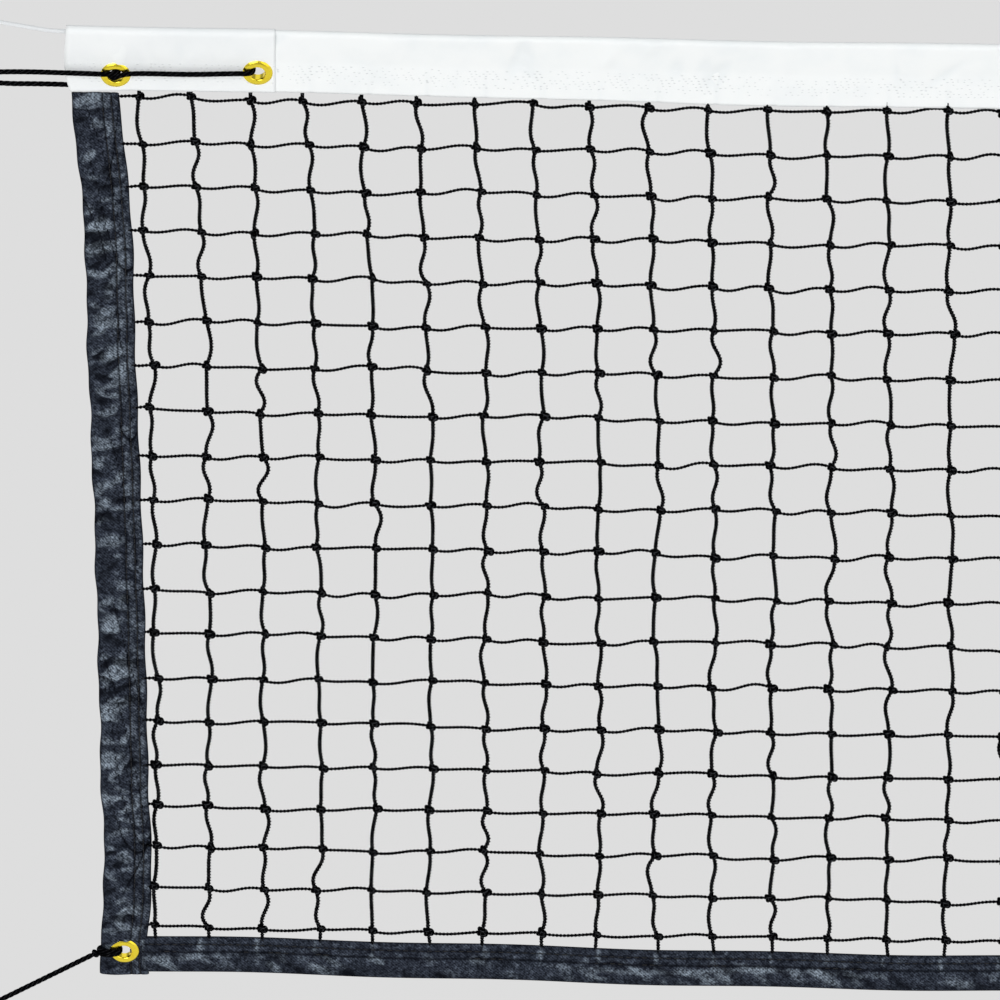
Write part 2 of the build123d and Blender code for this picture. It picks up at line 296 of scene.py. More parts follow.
def metal(name, colour, roughness, tint):
    """Metal with small spots of a second tint."""
    m = Nodes(name, colour, roughness, Metallic=1.0)
    spots = m.noise(240.0, 4.0)
    m.colour(m.mix(m.ramp(spots, 0.5, 0.85), colour, tint))
    m.rough(m.ramp(m.noise(300.0, 2.0), 0.3, 0.7, roughness - 0.05, roughness + 0.08))
    m.bump((m.noise(500.0, 2.0), 0.05, 0.0001))
    return m.material


def thread(name, colour):
    """Twisted sewing thread."""
    m = Nodes(name, colour, 0.7)
    m.colour(m.mix(m.noise(1200.0, 2.0), colour, tuple(c * 0.72 for c in colour)))
    m.bump((m.bands(1500.0, "DIAGONAL"), 0.5, 0.00012))
    return m.material


# each vinyl's second colour is for its random clouds and the painted shade in its folds
BAND_VINYL = vinyl("headband_vinyl", (0.955, 0.975, 0.970), (0.80, 0.85, 0.87), 0.5)
PATCH_VINYL = vinyl("patch_vinyl", (0.935, 0.955, 0.955), (0.82, 0.86, 0.88), 0.45)
HEM_CLOTH = cloth("hem_cloth")
# each cord's third value is the colour of its painted highlight
TWINE = twine("netting_twine", (0.0005, 0.0005, 0.0008), (0.060, 0.063, 0.070), 2, 2, 0.0002)
CORD = twine("black_cord", (0.0008, 0.0008, 0.0012), (0.024, 0.024, 0.028), 4, 1, 0.00015)
BRASS = metal("eyelet_brass", (1.0, 0.80, 0.060), 0.22, (0.92, 0.62, 0.025))
STEEL = metal("thimble_steel", (0.62, 0.63, 0.65), 0.28, (0.48, 0.49, 0.51))
ROPE = metal("wire_rope", (0.55, 0.56, 0.58), 0.34, (0.40, 0.41, 0.43))
FERRULE = metal("ferrule_metal", (0.72, 0.73, 0.75), 0.36, (0.60, 0.61, 0.62))
JACKET = vinyl("cable_vinyl", (0.80, 0.82, 0.83), (0.72, 0.75, 0.77), 0.3)
PALE_THREAD = thread("pale_thread", (0.84, 0.87, 0.88))
DARK_THREAD = thread("dark_thread", (0.0035, 0.0035, 0.005))


# --- mesh building ------------------------------------------------------------------------------
def mesh_object(name, points, quads, material, uv=None):
    """A smooth-shaded mesh object from arrays of points and of four-cornered faces."""
    mesh = bpy.data.meshes.new(name)
    points, quads = np.asarray(points, float), np.asarray(quads, int)
    mesh.vertices.add(len(points))
    mesh.vertices.foreach_set("co", points.ravel())
    mesh.loops.add(quads.size)
    mesh.loops.foreach_set("vertex_index", quads.ravel())
    mesh.polygons.add(len(quads))
    mesh.polygons.foreach_set("loop_start", np.arange(0, quads.size, 4))
    mesh.update(calc_edges=True)
    mesh.validate()
    mesh.polygons.foreach_set("use_smooth", np.ones(len(mesh.polygons), bool))
    if uv is not None:
        mesh.uv_layers.new(name="lay").data.foreach_set("uv", np.asarray(uv, float).ravel())
    mesh.materials.append(material)
    made = bpy.data.objects.new(name, mesh)
    bpy.context.collection.objects.link(made)
    return made


def finished(piece, body, slot, *nodes):
    """The piece, with its body and the CAD nodes that it replaces. Its slot is not used."""
    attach(piece, body)
    if nodes:
        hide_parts(*nodes)
    return piece


class Heap:
    """Meshes gathered into one object."""

    def __init__(self):
        self.points, self.quads, self.uvs, self.count = [], [], [], 0

    def put(self, points, quads, uv):
        self.points.append(points)
        self.quads.append(quads + self.count)
        self.uvs.append(uv)
        self.count += len(points)

    def made(self, name, material):
        return mesh_object(name, np.concatenate(self.points), np.concatenate(self.quads), material,
                           np.concatenate(self.uvs))


def ring_quads(rings, sides):
    """Faces joining each ring of points to the next."""
    i, j = np.meshgrid(np.arange(rings - 1), np.arange(sides), indexing="ij")
    k = (j + 1) % sides
    corners = [i * sides + j, i * sides + k, (i + 1) * sides + k, (i + 1) * sides + j]
    return np.stack(corners, -1).reshape(-1, 4)


def directions(path):
    """The unit direction of a path at each of its points."""
    step = np.gradient(path, axis=0)
    return step / np.linalg.norm(step, axis=1)[:, None]


def tube(path, radius, sides, pitch, relief=None):
    """Points, faces and map of a tube along a path near the net's plane.

    pitch is one turn of the cord's lay, and relief its raised strands.
    """
    path = np.asarray(path, float)
    step = directions(path)
    first = np.cross(step, (0, 1, 0))
    first /= np.linalg.norm(first, axis=1)[:, None]
    return swept(path, first, np.cross(step, first), radius, sides, pitch, relief)


def turned_tube(path, radius, sides, pitch, relief=None):
    """A tube whose frame is carried along the path without twist, for cords that turn every way."""
    path = np.asarray(path, float)
    step = directions(path)
    first = np.zeros_like(path)
    side = np.cross(step[0], (0.1, 0.9, 0.35))
    for i, s in enumerate(step):
        side = side - s * side.dot(s)
        side /= np.linalg.norm(side)
        first[i] = side
    return swept(path, first, np.cross(step, first), radius, sides, pitch, relief)


def swept(path, first, second, radius, sides, pitch, relief):
    """A capped tube round a path, from its two cross directions at each point. sides is even."""
    rings = len(path)
    angle = np.arange(sides) * 2 * np.pi / sides
    length = np.r_[0, np.cumsum(np.linalg.norm(np.diff(path, axis=0), axis=1))]
    radius = np.broadcast_to(np.asarray(radius, float), (rings,))[:, None] * np.ones(sides)
    if relief is not None:
        radius = radius * relief(length[:, None], angle[None, :])
    points = (path[:, None] + radius[..., None] * (np.cos(angle)[None, :, None] * first[:, None]
                                                   + np.sin(angle)[None, :, None] * second[:, None]))
    quads = ring_quads(rings, sides)
    i, j = np.meshgrid(np.arange(rings - 1), np.arange(sides), indexing="ij")
    u0, u1 = j / sides, (j + 1) / sides
    v0, v1 = length[i] / pitch, length[i + 1] / pitch
    uv = np.stack([np.stack([u0, v0], -1), np.stack([u1, v0], -1),
                   np.stack([u1, v1], -1), np.stack([u0, v1], -1)], 2).reshape(-1, 2)
    for start, turned_over in ((0, True), ((rings - 1) * sides, False)):
        cap = np.array([(start + a, start + a + 1, start + sides - 2 - a, start + sides - 1 - a)
                        for a in range(sides // 2 - 1)])
        quads = np.r_[quads, cap[:, ::-1] if turned_over else cap]
        uv = np.r_[uv, np.zeros((len(cap) * 4, 2))]
    return points.reshape(-1, 3), quads, uv


def shell(name, outer, inner, material, holes=(), **values):
    """A closed sheet between two grids of points, joined round its rim and round each hole in it.

    Each value is 0 to 1 at each outer point.
    """
    rows, columns = outer.shape[:2]
    total = rows * columns
    there = np.ones((rows - 1, columns - 1), bool)
    for hole in holes:
        away = np.hypot(outer[..., 0] - hole.x, outer[..., 2] - hole.z)
        nearest = np.minimum(np.minimum(away[:-1, :-1], away[1:, :-1]),
                             np.minimum(away[:-1, 1:], away[1:, 1:]))
        there &= nearest > HOLE_RADIUS
    i, j = np.nonzero(there)
    a = i * columns + j
    face = np.stack([a, a + 1, a + columns + 1, a + columns], -1)
    quads = [face, face[:, ::-1] + total]
    around = np.pad(there, 1)
    for corner, hop, beside in ((0, 1, around[:-2, 1:-1]), (1, columns, around[1:-1, 2:]),
                                (columns + 1, -1, around[2:, 1:-1]),
                                (columns, -columns, around[1:-1, :-2])):
        start = a[~beside[i, j]] + corner
        quads.append(np.stack([start + hop, start, start + total, start + hop + total], -1))
    used, quads = np.unique(np.concatenate(quads), return_inverse=True)
    points = np.r_[outer.reshape(-1, 3), inner.reshape(-1, 3)][used]
    made = mesh_object(name, points, quads.reshape(-1, 4), material)
    for key, value in values.items():
        both = np.clip(np.r_[value.ravel(), value.ravel()], 0, 1).astype(np.float32)[used]
        made.data.attributes.new(key, "FLOAT", "POINT").data.foreach_set("value", both)
    return made


def mirrored(points):
    """The same points at the net's other end."""
    points = np.array(points, float)
    points[..., 0] = MIRROR - points[..., 0]
    return points


def route(points):
    """Points along the smooth NURBS line that has these control points."""
    curve = bpy.data.curves.new("route", "CURVE")
    curve.dimensions = "3D"
    spline = curve.splines.new("NURBS")
    spline.points.add(len(points) - 1)
    for place, point in zip(spline.points, points):
        place.co = (*point, 1)
    spline.order_u = 3
    spline.use_endpoint_u = True
    spline.resolution_u = 40
    line = bpy.data.objects.new("route", curve)
    bpy.context.collection.objects.link(line)
    mesh = bpy.data.meshes.new_from_object(line)
    found = np.array([v.co for v in mesh.vertices], float)
    bpy.data.objects.remove(line)
    bpy.data.curves.remove(curve)
    bpy.data.meshes.remove(mesh)
    return found


def even(path, spacing):
    """The same line with points at an even spacing."""
    length = np.r_[0, np.cumsum(np.linalg.norm(np.diff(path, axis=0), axis=1))]
    at = np.linspace(0, length[-1], max(int(length[-1] / spacing), 2) + 1)
    return np.stack([np.interp(at, length, path[:, k]) for k in range(3)], -1)


# --- cords --------------------------------------------------------------------------------------
CORD_RADIUS, CORD_SIDES = 2.0 * MM, 20
BRAID_PITCH = 5.2 * MM


def braid(length, angle):
    """A braid's relief: two sets of strands that wind opposite ways."""
    turn = 2 * np.pi * length / BRAID_PITCH
    one, other = np.cos(4 * angle + turn), np.cos(4 * angle - turn)
    return 0.95 + 0.075 * np.maximum(one, other)


def braided(name, path):
    """A braided cord along a path, and the evenly spaced line that it follows."""
    spaced = even(path, 0.55 * MM)
    points, quads, uv = turned_tube(spaced, CORD_RADIUS, CORD_SIDES, BRAID_PITCH, braid)
    return mesh_object(name, points, quads, CORD, uv), spaced


def spin(turn):
    """The matrix that turns points in the net's plane."""
    c, s = math.cos(turn), math.sin(turn)
    return np.array([[c, 0, -s], [0, 1, 0], [s, 0, c]])


def knotted(name, at, reach, cord_radius, turn=0.0, tail=None):
    """A pulled-tight overhand knot, with the end that comes out of it."""
    t = np.linspace(0, 2 * np.pi, 150, endpoint=False)
    x, y, z = np.sin(t) + 2 * np.sin(2 * t), np.cos(t) - 2 * np.cos(2 * t), -np.sin(3 * t)
    line = np.stack([x, z * 1.25, y], -1) * ((reach - cord_radius) / 3.0)
    line = line @ spin(turn)
    line = np.r_[line, line[:1]] + np.array(at)
    heap = Heap()
    heap.put(*turned_tube(even(line, 0.6 * MM), cord_radius, CORD_SIDES, BRAID_PITCH, braid))
    if tail is not None:
        end = even(np.array([at, tail], float), 0.6 * MM)
        heap.put(*turned_tube(end, cord_radius * 0.97, CORD_SIDES, BRAID_PITCH, braid))
    return heap.made(name, CORD)


LACING_POINTS = [
    (0.0200, -0.003025, -0.0626), (0.0600, -0.0050, -0.0564),
    # over the outer eyelet's lip, through it and out again below
    (0.1370, -0.00595, -0.0571), (0.1455, -0.00605, -0.0575), (0.1535, -0.0030, -0.0580),
    (0.1553, 0.0032, -0.0588), (0.1489, 0.0032, -0.0626), (0.1490, -0.0056, -0.0624),
    (0.1575, -0.00605, -0.0570),
    # level between the eyelets, then through the inner one
    (0.1720, -0.00605, -0.0557), (0.2100, -0.00605, -0.0562), (0.2450, -0.00605, -0.0543),
    (0.2576, -0.00605, -0.0544), (0.2576, 0.0063, -0.0551), (0.2450, 0.0063, -0.0572),
    # back behind the band
    (0.1280, 0.0058, -0.0772), (0.0960, 0.0052, -0.0760), (0.0600, 0.0035, -0.0755),
    (0.0200, 0.0010, -0.0686),
]
HITCH = centre("bottom_tie_hitch_left")
FOOT_KNOT = centre("bottom_tie_knot_left")
LACE_KNOT = centre("lacing_knot_left")
TIE_WAY = (FOOT_KNOT - HITCH).normalized()
TIE_POINTS = [HITCH + TIE_WAY * along for along in (0.0032, 0.035, 0.070, 0.108)]

# two turns through the foot eyelet, wound as one spiral that steps down at each of its eight corners
RIGHT_X, LEFT_X, FRONT_Y, BACK_Y = FOOT_HOLE.x - 0.0030, FOOT_HOLE.x - 0.0194, -0.0059, 0.0054
TURN_CORNERS = ((RIGHT_X, FRONT_Y), (LEFT_X, FRONT_Y), (LEFT_X, BACK_Y), (RIGHT_X, BACK_Y)) * 2
TURN_POINTS = []
for corner, (x, y) in enumerate(TURN_CORNERS):
    drop = 2.4 if (x, y) == (LEFT_X, BACK_Y) else 0.0
    TURN_POINTS.append((x, y, FOOT_HOLE.z + (2.1 - 4.2 * corner / 7 - drop) * MM))

for side in ("left", "right"):
    flip = np.array if side == "left" else mirrored
    hand = 1 if side == "left" else -1
    lace, lace_line = braided(f"lacing_{side}", flip(route(LACING_POINTS)))
    lace_knot = knotted(f"lacing_knot_tied_{side}", flip(LACE_KNOT), 7.0 * MM, CORD_RADIUS,
                        tail=flip(LACE_KNOT + Vector((-0.0085, 0.001, -0.004))))
    finished(lace, "headband", "black_cord", f"lacing_cord_{side}")
    finished(lace_knot, "headband", "black_cord", f"lacing_knot_{side}")

    tie, tie_line = braided(f"tie_line_{side}", flip(route(TIE_POINTS)))
    tie_knot = knotted(f"tie_end_knot_{side}", flip(FOOT_KNOT), 5.3 * MM, CORD_RADIUS * 0.9, 0.5,
                       tail=flip(FOOT_KNOT + TIE_WAY * 0.006))
    finished(tie, f"{side}_tie", "black_cord", f"bottom_tie_cord_{side}")
    finished(tie_knot, f"{side}_tie", "black_cord", f"bottom_tie_knot_{side}")

    turns, _ = braided(f"tie_turns_wound_{side}", flip(route(TURN_POINTS)))
    hitch = knotted(f"tie_hitch_tied_{side}", flip(HITCH), 3.7 * MM, CORD_RADIUS * 0.8, hand * 0.9)
    finished(turns, "curtain", "black_cord", f"bottom_tie_turns_{side}")
    finished(hitch, "curtain", "black_cord", f"bottom_tie_hitch_{side}")


# --- cloth shapes -------------------------------------------------------------------------------
def creases(along, across, number, span, rise, size, angle, height, seed):
    """Soft folds scattered over a strip: the height they add at each point of the two arrays.

    span and rise are where they lie along and across it, size their usual length and width, angle the
    range of their turn, and height the most that one of them adds.
    """
    dice = np.random.default_rng(seed)
    total = np.zeros(np.broadcast(along, across).shape)
    for _ in range(number):
        x, z = dice.uniform(*span), dice.uniform(*rise)
        length, width = size[0] * dice.uniform(0.6, 1.4), size[1] * dice.uniform(0.7, 1.4)
        turn = dice.uniform(*angle)
        tall = height * dice.uniform(-1.0, 1.0)
        near = np.abs(along[:, 0] - x) < 3 * length
        if not near.any():
            continue
        dx, dz = along[near] - x, across[near] - z
        on = dx * math.cos(turn) + dz * math.sin(turn)
        off = dz * math.cos(turn) - dx * math.sin(turn)
        total[near] += tall * np.exp(-((on / length) ** 2) - (off / width) ** 2)
    return total


def stations(start, end, fine, reach, coarse):
    """Places along the net: close together for `reach` at each end, further apart between."""
    ends = np.arange(start, start + reach, fine)
    middle = np.linspace(start + reach, end - reach, int((end - start - 2 * reach) / coarse))
    return np.r_[ends, middle[:-1], (start + end - ends)[::-1]]


def stretches(start, end, reach):
    """A span cut into its two ends and the part between them."""
    return (start, start + reach), (end - reach, end), (start + reach, end - reach)


COLUMNS, ROWS = 287, 20
SIDE_GAP = 0.0538  # from the headband's end to the first column
FIRST_COLUMN, COLUMN_PITCH = LEFT + SIDE_GAP, (RIGHT - LEFT - 2 * SIDE_GAP) / (COLUMNS - 1)
FIRST_DROP, ROW_PITCH, ROW_SAG = 5.4 * MM, 42.7 * MM, 10.0 * MM
column_x = FIRST_COLUMN + COLUMN_PITCH * np.arange(COLUMNS)
row_z = BAND_BOTTOM - FIRST_DROP - ROW_PITCH * np.arange(ROWS)
row_z -= ROW_SAG * np.sin(np.pi * (np.arange(ROWS) / (ROWS - 1)) ** 2)


def from_column(x):
    """How far a place along the net is from the nearest upright cord's even place."""
    return np.abs((x - FIRST_COLUMN + COLUMN_PITCH / 2) % COLUMN_PITCH - COLUMN_PITCH / 2)


BAND_HALF, PATCH_LIFT = 1.2 * MM, 0.8 * MM  # half the closed strip's thickness, and the patch's step
BAND_THICKNESS, PATCH_THICKNESS = 1.1 * MM, 0.7 * MM
FIRST_SEAM = BAND_TOP - 0.030
LOW_ROWS, HIGH_ROWS, TOP_ROWS = 15, 10, 11


def band_grid(x, layer, thickness, seed, creased=1.0):
    """Outer and inner faces of a strip folded over the cable, and the painted shade in its folds at each
    point.

    The strip lies `layer` outside the headband's own faces. From the cable its two sides close to
    each other at the first seam.
    """
    half, top = BAND_HALF + layer, SLEEVE_RADIUS + layer
    low = np.linspace(BAND_BOTTOM, FIRST_SEAM, LOW_ROWS)
    slope = math.atan2(top - half, CABLE_Z - FIRST_SEAM)
    high = np.linspace(FIRST_SEAM, CABLE_Z - top * math.sin(slope), HIGH_ROWS + 1)[1:]
    share = (high - FIRST_SEAM) / (high[-1] - FIRST_SEAM)
    front_y = -(half + (top * math.cos(slope) - half) * share ** 0.85)
    turn = np.linspace(math.pi + slope, -slope, TOP_ROWS + 2)[1:-1]
    straight = half * np.ones(LOW_ROWS)
    y = np.r_[-straight, front_y, top * np.cos(turn), -front_y[::-1], straight]
    z = np.r_[low, high, CABLE_Z + top * np.sin(turn), high[::-1], low[::-1]]
    flat = np.ones(LOW_ROWS + len(high))
    normal_y = np.r_[-flat, np.cos(turn), flat]
    normal_z = np.r_[0 * flat, np.sin(turn), 0 * flat]
    along = x[:, None] * np.ones(len(y))
    drop = np.clip((BAND_TOP - z) / (BAND_TOP - BAND_BOTTOM), 0, 1)
    behind = 0.2  # added to the back's heights, so that each side has folds of its own
    height = np.broadcast_to(z - BAND_BOTTOM + np.where(y > 0, behind, 0.0), along.shape)
    folds = np.zeros_like(along)
    for span in stretches(LEFT, RIGHT, 1.0):
        reach = span[1] - span[0]
        for side in (0.0, behind):
            folds += creases(along, height, int(52 * reach), span, (side + 0.026, side + 0.056),
                             size=(0.015, 0.0046), angle=(0.7, 2.3), height=0.0016, seed=seed)
            folds += creases(along, height, int(26 * reach), span, (side + 0.002, side + 0.030),
                             size=(0.010, 0.0030), angle=(1.1, 2.0), height=0.00045, seed=seed + 1)
            seed += 2
    folds -= 0.0007 * hump(from_column(along), 0, 0.0020) * np.clip(drop * 1.9 - 0.8, 0, 1)
    folds = folds * creased * np.abs(normal_y) ** 2
    end_cut = 0.0034 * drop ** 7 - 0.0018 * np.sin(np.pi * drop) - 0.0004  # how far in the end stands
    sway = band_wander(along) + band_lift(x)[:, None] * drop ** 2 - band_dip(x)[:, None]
    grids = []
    for depth in (0.0, thickness):
        gy = y - normal_y * depth + normal_y * folds
        gz = z - normal_z * depth + sway
        near_start = np.exp(-((x - x[0]) / 0.004))[:, None]
        near_stop = np.exp(-((x[-1] - x) / 0.004))[:, None]
        gx = along + (near_start - near_stop * (x[-1] > MIRROR / 2)) * end_cut
        grids.append(np.stack([gx, gy, gz], -1))
    # painted shade: the strip is darker where its folds sink in
    painted_light = np.clip(-folds / 0.0009, 0, 1) * 0.35
    return grids[0], grids[1], painted_light


CLOTH_SEED = 11
band_x = stations(LEFT, RIGHT, fine=0.0030, reach=0.75, coarse=0.038)
outer, inner, painted_light = band_grid(band_x, 0.0, BAND_THICKNESS, CLOTH_SEED)
band = shell("headband_strip", outer, inner, BAND_VINYL, TOP_HOLES, wear=painted_light)
finished(band, "headband", "headband_vinyl", "headband")

patch_x = np.arange(LEFT - 0.0003, PATCH_END, 0.0025)
outer, inner, painted_light = band_grid(patch_x, PATCH_LIFT, PATCH_THICKNESS, CLOTH_SEED, creased=0.35)
for side in ("left", "right"):
    grids = (outer, inner) if side == "left" else (mirrored(inner), mirrored(outer))
    patch = shell(f"end_patch_{side}", *grids, PATCH_VINYL, TOP_HOLES, wear=painted_light)
    finished(patch, "headband", "patch_vinyl", f"headband_end_patch_{side}")


# --- side and bottom tapes ------------------------------------------------------------------------
def rounded(share, edge=0.09):
    """1 over most of a strip, falling to nothing at its two long edges."""
    side = np.clip(np.minimum(share, 1 - share) / edge, 0, 1)
    return np.sqrt(1 - (1 - side) ** 2)


def seam_lines(across, seams, reach):
    """1 on each line of stitching, falling to nothing beside it."""
    return sum(hump(across, seam, reach) for seam in seams)


def pinches(height, place, levels, reach, seed):
    """How deep each point is in the thin creases that run in from the netting at each of its rows."""
    dice = np.random.default_rng(seed)
    total = np.zeros_like(height)
    for level in levels:
        slope, bend, inner = dice.uniform(-0.28, 0.12), dice.uniform(-0.1, 0.1), dice.uniform(0.0, 0.6)
        off = (height - level - slope * (place - 0.5) - bend * (place - 0.5) ** 2 * 3
               - 0.002 * np.sin(place * 9 + level * 90))
        fading = np.clip((place - inner) * 5 + 0.6, 0.15, 1)
        total += dice.choice([0.3, 0.8, 1.4]) * hump(off, 0, reach) * fading
    return total


HALF_CLOTH, LEAST_HALF = 0.0013, 0.0002  # half a tape's thickness, and the least it may be
SIDE_SEAMS = (0.645, 0.83)  # as shares of the side tape's width
HEM_SEAMS = (0.60, 0.80)  # as shares of the bottom tape's height


def tape_faces(z, share, seed):
    """Front and back faces of the left side tape, and how much painted highlight and painted shade each
    point gets.
    """
    height = z[:, None] * np.ones(len(share))
    across = np.broadcast_to(share, height.shape)
    puff = hump(across, 0.30, 0.24) * 0.0011
    gutter = 0.00040 * seam_lines(across, SIDE_SEAMS, 0.018)
    place = across * TAPE_WIDTH
    whole, inner_edge = (HEM_BOTTOM, SWING_Z), 0.6 * TAPE_WIDTH
    folds = creases(height, place, 260, whole, (0.002, inner_edge), size=(0.0068, 0.0027),
                    angle=(0.5, 2.2), height=0.0021, seed=seed)
    folds += creases(height, place, 170, whole, (inner_edge, TAPE_WIDTH), size=(0.0045, 0.0016),
                     angle=(1.1, 2.0), height=0.0007, seed=seed + 1)
    pinch = pinches(height, across, row_z, 0.0017, seed + 4)
    body = HALF_CLOTH * rounded(across) + 0.00015
    edge_wave = 0.0006 * np.sin(height * 61) + 0.0004 * np.sin(height * 143 + 1.0)
    x = (LEFT + edge_inset(height) + edge_sway(height) + place + edge_wave * (1 - across)
         - 0.0005 * across * np.sin(height * 88))
    raised = (puff + folds - 0.0010 * pinch) * rounded(across, 0.2) - gutter
    front = -(body + raised)
    rear = body + (puff * 0.6 - folds * 0.6 - 0.0005 * pinch) * rounded(across, 0.2) - gutter
    shine = creases(height, place, 150, whole, (0.003, inner_edge), size=(0.0085, 0.0036),
                    angle=(0.3, 1.5), height=2.6, seed=seed + 2)
    flat_highlight = creases(height, place, 90, whole, (inner_edge, TAPE_WIDTH), size=(0.0040, 0.0018),
                         angle=(0.4, 1.6), height=1.2, seed=seed + 3)
    # painted highlight: paler on the shine patches, on the fold crests, in patches over the flat part
    # and over the flat stitched part
    painted_light = (np.clip(shine, 0, 1) * 0.8 + np.clip(flat_highlight, 0, 1) * 0.5
            + np.clip(folds / 0.0012, 0, 1) * 0.6 + 0.22 * np.clip((across - 0.62) * 20, 0, 1))
    # painted shade: darker in the thin creases, in the fold valleys and at the rolled edges, and darker
    # along the seams
    shade = (pinch * 0.9 + np.clip(-folds / 0.0011, 0, 1) * 0.75
             + 0.95 * hump(across, SIDE_SEAMS[0], 0.024) + 0.95 * hump(across, SIDE_SEAMS[1], 0.022)
             + 0.75 * (1 - rounded(across, 0.10)))
    return (np.stack([x, np.minimum(front, -LEAST_HALF), height], -1),
            np.stack([x, np.maximum(rear, LEAST_HALF), height], -1),
            painted_light * rounded(across, 0.12), shade)


tape_z, tape_share = np.linspace(HEM_BOTTOM, SWING_Z, 760), np.linspace(0, 1, 38)
for side, seed in (("left", 31), ("right", 57)):
    front, rear, painted_light, shade = tape_faces(tape_z, tape_share, seed)
    if side == "right":
        front, rear = mirrored(rear), mirrored(front)
    tape = shell(f"side_tape_cloth_{side}", front, rear, HEM_CLOTH, [centre(f"eyelet_bottom_{side}")],
                 wear=painted_light, shade=shade)
    finished(tape, "curtain", "hem_cloth", f"side_tape_{side}")


def hem_faces(x, share, seed):
    """Front and back faces of the bottom tape, and how much painted highlight and painted shade each
    point gets.
    """
    along = x[:, None] * np.ones(len(share))
    across = np.broadcast_to(share, along.shape)
    place = HEM_BOTTOM + across * HEM_HEIGHT
    low_part, high_part = (HEM_BOTTOM + 0.003, HEM_TOP - 0.014), (HEM_TOP - 0.016, HEM_TOP - 0.002)
    folds, shine = np.zeros_like(along), np.zeros_like(along)
    for span in stretches(x[0], x[-1], 0.9):
        reach = span[1] - span[0]
        folds += creases(along, place, int(150 * reach), span, low_part, size=(0.0085, 0.0026),
                         angle=(-1.2, -0.3), height=0.0014, seed=seed)
        shine += creases(along, place, int(60 * reach), span, low_part, size=(0.0100, 0.0030),
                         angle=(-1.0, -0.2), height=2.6, seed=seed + 1)
        shine += creases(along, place, int(45 * reach), span, high_part, size=(0.0050, 0.0016),
                         angle=(-1.2, 1.2), height=0.9, seed=seed + 2)
        seed += 3
    puff = 0.0009 * hump(across, 0.38, 0.26)
    gutter = 0.00035 * seam_lines(across, HEM_SEAMS, 0.02)
    body = HALF_CLOTH * rounded(across) + 0.00015
    height = place + hem_sway(along)
    front = np.minimum(-(body + (puff + folds) * rounded(across, 0.2) - gutter), -LEAST_HALF)
    rear = np.maximum(body + (puff * 0.6 - folds * 0.6) * rounded(across, 0.2) - gutter, LEAST_HALF)
    # pale ticks where upright cords are sewn in, and a painted sheen along the middle
    tick = hump(from_column(along), 0, 0.0013) * np.clip((across - 0.45) * 4, 0, 1)
    painted_sheen = (hump(across - 0.05 * np.sin(along * 31), 0.45, 0.085)
             * np.clip(0.5 + np.sin(along * 13), 0, 1))
    # painted highlight: paler on the shine patches and fold crests, with the pale ticks and the painted
    # sheen
    painted_light = (np.clip(shine, 0, 1) * 0.65 + np.clip(folds / 0.0010, 0, 1) * 0.4 + 0.75 * tick
            + 0.5 * painted_sheen)
    # painted shade: darker in the fold valleys, over the lower part and at the rolled edges, and darker
    # along the seams
    shade = (np.clip(-folds / 0.0010, 0, 1) * 0.6 + 0.35 * np.clip((0.28 - across) * 6, 0, 1)
             + seam_lines(across, HEM_SEAMS, 0.030) + 0.7 * (1 - rounded(across, 0.08)))
    return (np.stack([along, front, height], -1), np.stack([along, rear, height], -1),
            painted_light * rounded(across, 0.15), shade)


TUCKED = 0.006  # how far each end of the bottom tape runs in under the side tape
hem_x = stations(HEM_START - TUCKED, MIRROR - HEM_START + TUCKED, fine=0.0028, reach=0.9, coarse=0.022)
front, rear, painted_light, shade = hem_faces(hem_x, np.linspace(0, 1, 30), 81)
hem = shell("bottom_tape_cloth", front, rear, HEM_CLOTH, wear=painted_light, shade=shade)
finished(hem, "curtain", "hem_cloth", "bottom_tape")


# --- stitching ------------------------------------------------------------------------------------
def stitches(name, places, ways, outward, size, material, body, slot):
    """Short raised threads: where each is, which way it runs, and which way the cloth faces."""
    length, width, height = size
    over = np.cross(ways, outward)
    corners = np.array([(-.5, -.5, -.6), (.5, -.5, -.6), (.5, .5, -.6), (-.5, .5, -.6),
                        (-.34, -.3, 1), (.34, -.3, 1), (.34, .3, 1), (-.34, .3, 1)])
    points = (places[:, None] + corners[None, :, :1] * length * ways[:, None]
              + corners[None, :, 1:2] * width * over[:, None]
              + corners[None, :, 2:] * height * np.array(outward))
    faces = np.array([(4, 5, 6, 7), (0, 1, 5, 4), (1, 2, 6, 5), (2, 3, 7, 6), (3, 0, 4, 7)])
    quads = (faces[None] + 8 * np.arange(len(places))[:, None, None]).reshape(-1, 4)
    return finished(mesh_object(name, points.reshape(-1, 3), quads, material), body, slot)


